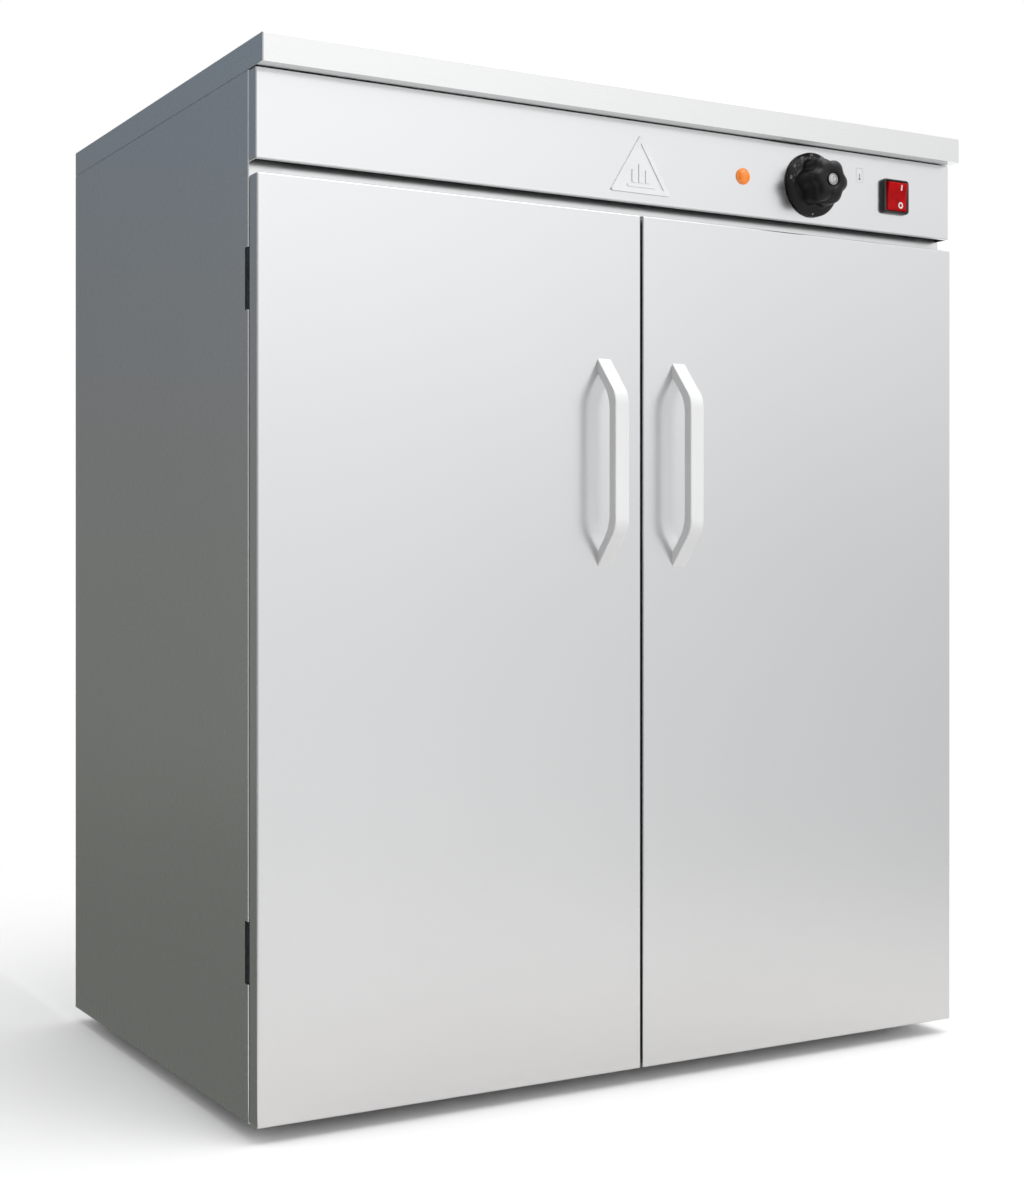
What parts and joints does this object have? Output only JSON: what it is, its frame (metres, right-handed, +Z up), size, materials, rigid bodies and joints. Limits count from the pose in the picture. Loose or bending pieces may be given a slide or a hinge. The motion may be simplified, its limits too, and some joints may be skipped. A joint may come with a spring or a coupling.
{
  "type": "food holding cabinet",
  "caption": "Free-standing stainless heated food holding cabinet: double doors with bow handles, wire shelves over an element, thermostat knob, rocker switch and pilot lamp on a top fascia.",
  "frame": {"origin": "on the floor, under the middle of the case", "axes": "+Z up, the doors face -Y, +X to the right of someone facing the doors"},
  "size_m": [0.75, 0.5353, 0.9],
  "materials": {
    "outer_steel": "satin",
    "door_steel": "satin",
    "inner_steel": "satin",
    "zinc_steel": "satin",
    "hinge_steel": "satin",
    "screw_steel": "satin",
    "chrome_wire": "polished",
    "element_sheath": "matte",
    "handle_white": "satin",
    "badge_plastic": "satin",
    "knob_black": "gloss",
    "knob_cap_metal": "satin",
    "switch_black": "satin",
    "rocker_red": "gloss",
    "lamp_amber": "gloss",
    "control_plastic": "satin",
    "capillary_copper": "satin",
    "wire_sleeve": "matte",
    "terminal_ceramic": "satin",
    "gland_plastic": "matte",
    "foot_rubber": "matte",
    "mineral_wool": "matte",
    "magnet_plastic": "satin"
  },
  "bodies": {
    "cabinet": {"worktop": "outer_steel", "left_side_panel": "outer_steel", "right_side_panel": "outer_steel", "back_panel": "zinc_steel", "base_panel": "zinc_steel", "back_panel_screws": "screw_steel", "feet": "foot_rubber", "foot_screws": "screw_steel", "left_stile": "outer_steel", "right_stile": "outer_steel", "top_rail": "outer_steel", "bottom_rail": "outer_steel", "left_liner": "inner_steel", "right_liner": "inner_steel", "rear_liner": "inner_steel", "liner_floor": "inner_steel", "liner_ceiling": "inner_steel", "left_insulation": "mineral_wool", "right_insulation": "mineral_wool", "rear_insulation": "mineral_wool", "base_insulation": "mineral_wool", "top_insulation": "mineral_wool", "left_shelf_runners": "inner_steel", "right_shelf_runners": "inner_steel", "element_cover": "inner_steel", "heating_element": "element_sheath", "element_clips": "screw_steel", "control_fascia": "outer_steel", "triangle_badge": "badge_plastic", "thermostat": "control_plastic", "thermostat_probe": "capillary_copper", "switch_housing": "switch_black", "lamp_body": "control_plastic", "lamp_lens": "lamp_amber", "cable_gland": "gland_plastic", "terminal_block": "terminal_ceramic", "wiring": "wire_sleeve", "hinge_pins": "hinge_steel", "case_hinge_leaves": "hinge_steel", "magnetic_catches": "magnet_plastic"},
    "left_door": {"left_door_skin": "door_steel", "left_door_liner": "inner_steel", "left_door_insulation": "mineral_wool", "left_handle": "handle_white", "left_handle_screws": "screw_steel", "left_door_hinge_leaves": "hinge_steel", "left_strike_plate": "zinc_steel"},
    "right_door": {"right_door_skin": "door_steel", "right_door_liner": "inner_steel", "right_door_insulation": "mineral_wool", "right_handle": "handle_white", "right_handle_screws": "screw_steel", "right_door_hinge_leaves": "hinge_steel", "right_strike_plate": "zinc_steel"},
    "knob": {"thermostat_knob": "knob_black", "knob_cap": "knob_cap_metal", "thermostat_shaft": "screw_steel"},
    "rocker": {"switch_rocker": "rocker_red"},
    "lower_shelf": {"lower_shelf": "chrome_wire"},
    "upper_shelf": {"upper_shelf": "chrome_wire"}
  },
  "joints": [
    {"name": "left_door_hinge", "type": "hinge", "parent": "cabinet", "child": "left_door", "pos_m": [-0.3725, -0.219, 0.4], "axis": [0, 0, -1], "range_deg": [0, 120]},
    {"name": "right_door_hinge", "type": "hinge", "parent": "cabinet", "child": "right_door", "pos_m": [0.3725, -0.219, 0.4], "axis": [0, 0, 1], "range_deg": [0, 120]},
    {"name": "knob_turn", "type": "hinge", "parent": "cabinet", "child": "knob", "pos_m": [0.1977, -0.2378, 0.8378], "axis": [0, 1, 0], "range_deg": [0, 270]},
    {"name": "rocker_tilt", "type": "hinge", "parent": "cabinet", "child": "rocker", "pos_m": [0.3018, -0.2388, 0.8368], "axis": [-1, 0, 0], "range_deg": [0, 10]},
    {"name": "lower_shelf_lift", "type": "slide", "parent": "cabinet", "child": "lower_shelf", "axis": [0, 0, 1], "range_m": [0, 0.02]},
    {"name": "upper_shelf_lift", "type": "slide", "parent": "cabinet", "child": "upper_shelf", "axis": [0, 0, 1], "range_m": [0, 0.02]}
  ]
}
